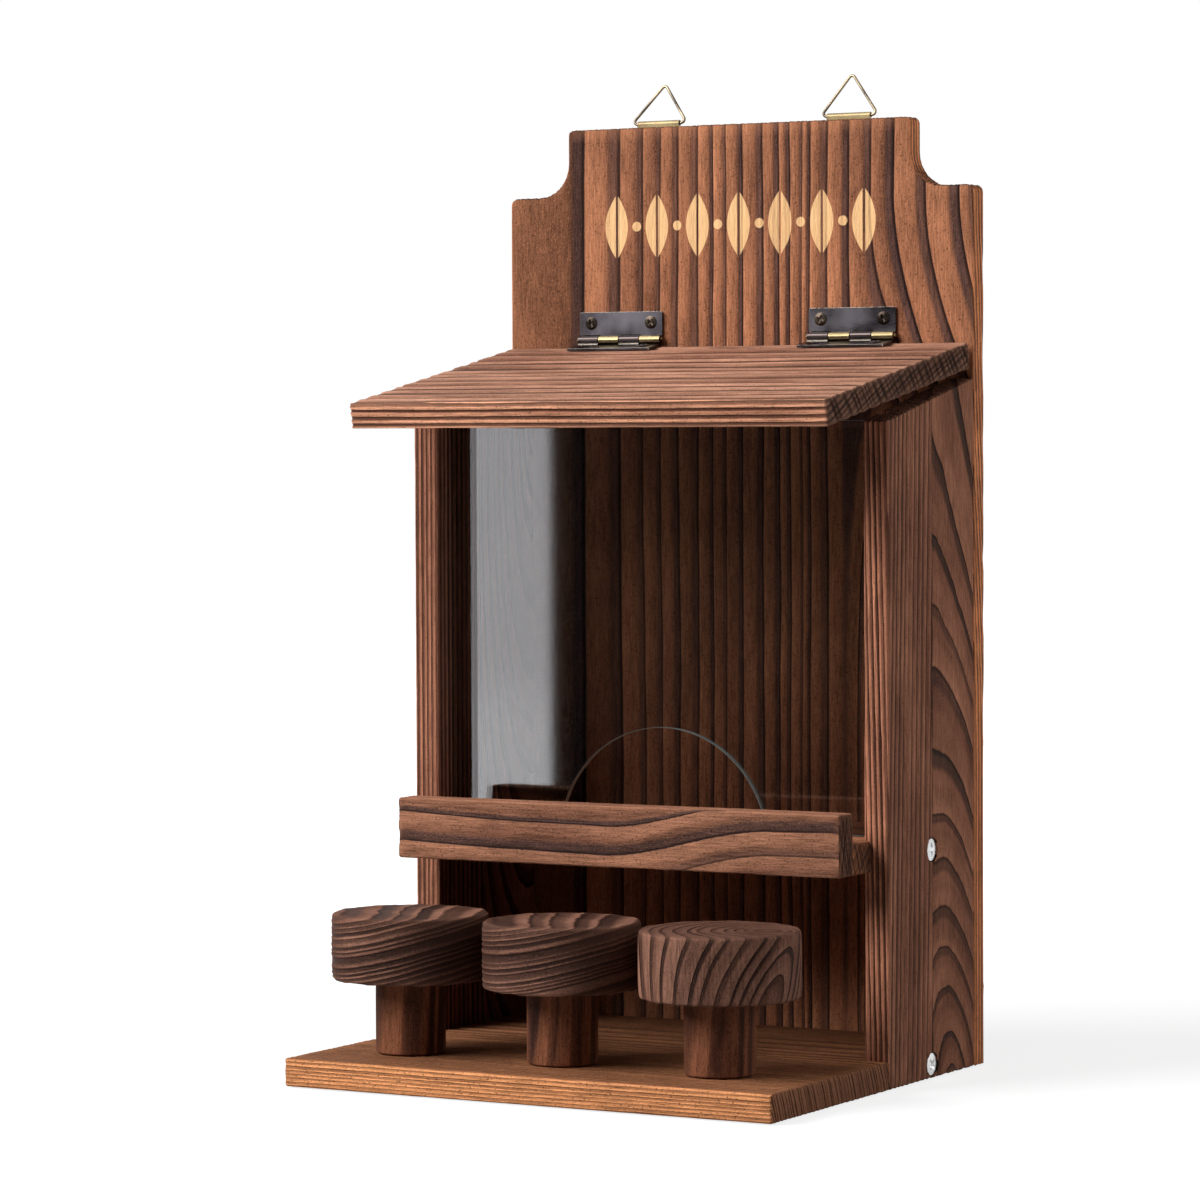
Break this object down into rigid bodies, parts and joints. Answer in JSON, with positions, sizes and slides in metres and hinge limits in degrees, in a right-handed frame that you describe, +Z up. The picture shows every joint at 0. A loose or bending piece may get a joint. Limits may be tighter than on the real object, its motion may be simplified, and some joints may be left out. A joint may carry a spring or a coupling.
{
  "type": "squirrel feeder box",
  "caption": "Wooden wall-hung feeder box with notched back board, hinged roof, sliding clear window with an arched outlet, feeding shelf with rail, and a base with round stools.",
  "frame": {"origin": "middle of the base board's underside, halfway between its front edge and the back board's front face", "axes": "+Z up the back board, +Y towards the wall behind the back board, -Y towards the front with the stools, +X to the right seen from the front"},
  "size_m": [0.18, 0.1632, 0.3359],
  "materials": {
    "charred_wood": "charred and brushed softwood with raised dark grain",
    "stool_wood": "darker charred softwood, dry and matt",
    "clear_sheet": "clear polished acrylic sheet",
    "hinge_bronze": "antique bronze plating worn at the edges",
    "hinge_pin_brass": "bare drawn brass",
    "hanger_brass": "thin brass plating on bent wire and strip",
    "zinc_screw": "bright zinc plated steel"
  },
  "bodies": {
    "box": {"back_base_screw_1": "zinc_screw", "back_base_screw_2": "zinc_screw", "back_board": "charred_wood", "back_left_screw_1": "zinc_screw", "back_left_screw_2": "zinc_screw", "back_left_screw_3": "zinc_screw", "back_right_screw_1": "zinc_screw", "back_right_screw_2": "zinc_screw", "back_right_screw_3": "zinc_screw", "back_shelf_screw_1": "zinc_screw", "back_shelf_screw_2": "zinc_screw", "base_board": "charred_wood", "feed_shelf": "charred_wood", "front_rail": "charred_wood", "hanger_left_screw": "hanger_brass", "hanger_left_strap": "hanger_brass", "hanger_right_screw": "hanger_brass", "hanger_right_strap": "hanger_brass", "hinge_left_pin": "hinge_pin_brass", "hinge_left_wall_leaf": "hinge_bronze", "hinge_left_wall_screw_a": "hinge_bronze", "hinge_left_wall_screw_b": "hinge_bronze", "hinge_right_pin": "hinge_pin_brass", "hinge_right_wall_leaf": "hinge_bronze", "hinge_right_wall_screw_a": "hinge_bronze", "hinge_right_wall_screw_b": "hinge_bronze", "left_side_panel": "charred_wood", "right_side_panel": "charred_wood", "side_left_base_screw": "zinc_screw", "side_left_shelf_screw": "zinc_screw", "side_right_base_screw": "zinc_screw", "side_right_shelf_screw": "zinc_screw", "stool_leg_left": "stool_wood", "stool_leg_middle": "stool_wood", "stool_leg_right": "stool_wood", "stool_screw_left": "zinc_screw", "stool_screw_middle": "zinc_screw", "stool_screw_right": "zinc_screw", "stool_seat_left": "stool_wood", "stool_seat_middle": "stool_wood", "stool_seat_right": "stool_wood"},
    "roof": {"roof_board": "charred_wood", "hinge_left_roof_leaf": "hinge_bronze", "hinge_left_roof_screw_a": "hinge_bronze", "hinge_left_roof_screw_b": "hinge_bronze", "hinge_right_roof_leaf": "hinge_bronze", "hinge_right_roof_screw_a": "hinge_bronze", "hinge_right_roof_screw_b": "hinge_bronze"},
    "window": {"window_panel": "clear_sheet"},
    "left_ring": {"hanger_left_ring": "hanger_brass"},
    "right_ring": {"hanger_right_ring": "hanger_brass"}
  },
  "joints": [
    {"name": "roof_hinge", "type": "hinge", "parent": "box", "child": "roof", "pos_m": [0, 0.0728, 0.2462], "axis": [-1, 0, 0], "range_deg": [0, 100]},
    {"name": "window_slide", "type": "slide", "parent": "box", "child": "window", "axis": [0, 0, 1], "range_m": [0, 0.0069]},
    {"name": "left_ring_swing", "type": "hinge", "parent": "box", "child": "left_ring", "pos_m": [-0.035, 0.08375, 0.3216], "axis": [-1, 0, 0], "range_deg": [-79, 151]},
    {"name": "right_ring_swing", "type": "hinge", "parent": "box", "child": "right_ring", "pos_m": [0.039, 0.08375, 0.3216], "axis": [-1, 0, 0], "range_deg": [-70, 160]}
  ]
}
